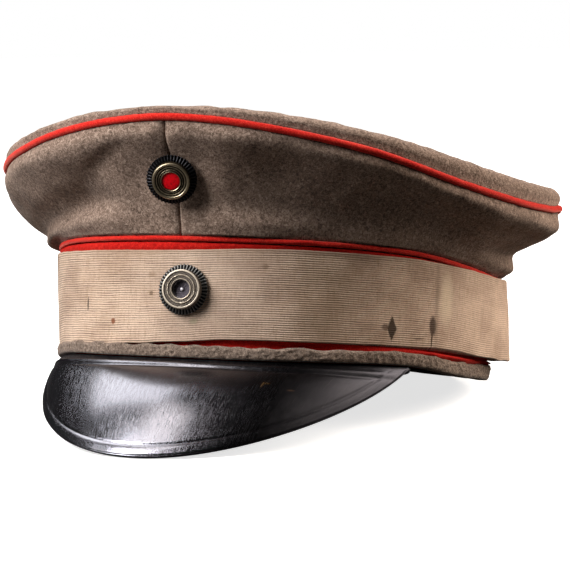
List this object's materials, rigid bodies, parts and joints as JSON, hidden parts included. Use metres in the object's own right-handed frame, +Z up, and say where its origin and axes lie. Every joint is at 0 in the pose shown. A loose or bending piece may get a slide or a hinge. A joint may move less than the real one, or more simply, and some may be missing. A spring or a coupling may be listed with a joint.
{
  "type": "visor cap",
  "caption": "Soft visor cap with a flaring corded wool crown, a banded head opening under a ribbed cover tape, a curved black visor and round metal cockades.",
  "frame": {"origin": "the middle of the bounding box's underside, on the table that the cap rests on by its visor tip and rear rim", "axes": "+Z up, the cap's front and visor to -Y, the wearer's left to +X; the head opening is tipped back 10.9 degrees, as it rests"},
  "size_m": [0.2194, 0.275, 0.1218],
  "materials": {
    "crown_cloth": "matte",
    "piping_cloth": "matte",
    "band_cloth": "matte",
    "tape_cloth": "matte",
    "visor_fibre": "gloss",
    "rosette_metal": "satin",
    "ring_nickel": "satin",
    "ring_silver": "satin",
    "center_silver": "matte",
    "red_enamel": "gloss"
  },
  "bodies": {
    "root": {"crown_top": "crown_cloth", "crown_side_left": "crown_cloth", "crown_side_right": "crown_cloth", "crown_piping": "piping_cloth", "band_piping": "piping_cloth", "band": "band_cloth", "cover_tape": "tape_cloth", "rim_welt": "crown_cloth", "visor": "visor_fibre", "upper_cockade_rosette": "rosette_metal", "upper_cockade_ring": "ring_nickel", "upper_cockade_center": "red_enamel", "lower_cockade_rosette": "rosette_metal", "lower_cockade_ring": "ring_silver", "lower_cockade_center": "center_silver"}
  },
  "joints": []
}
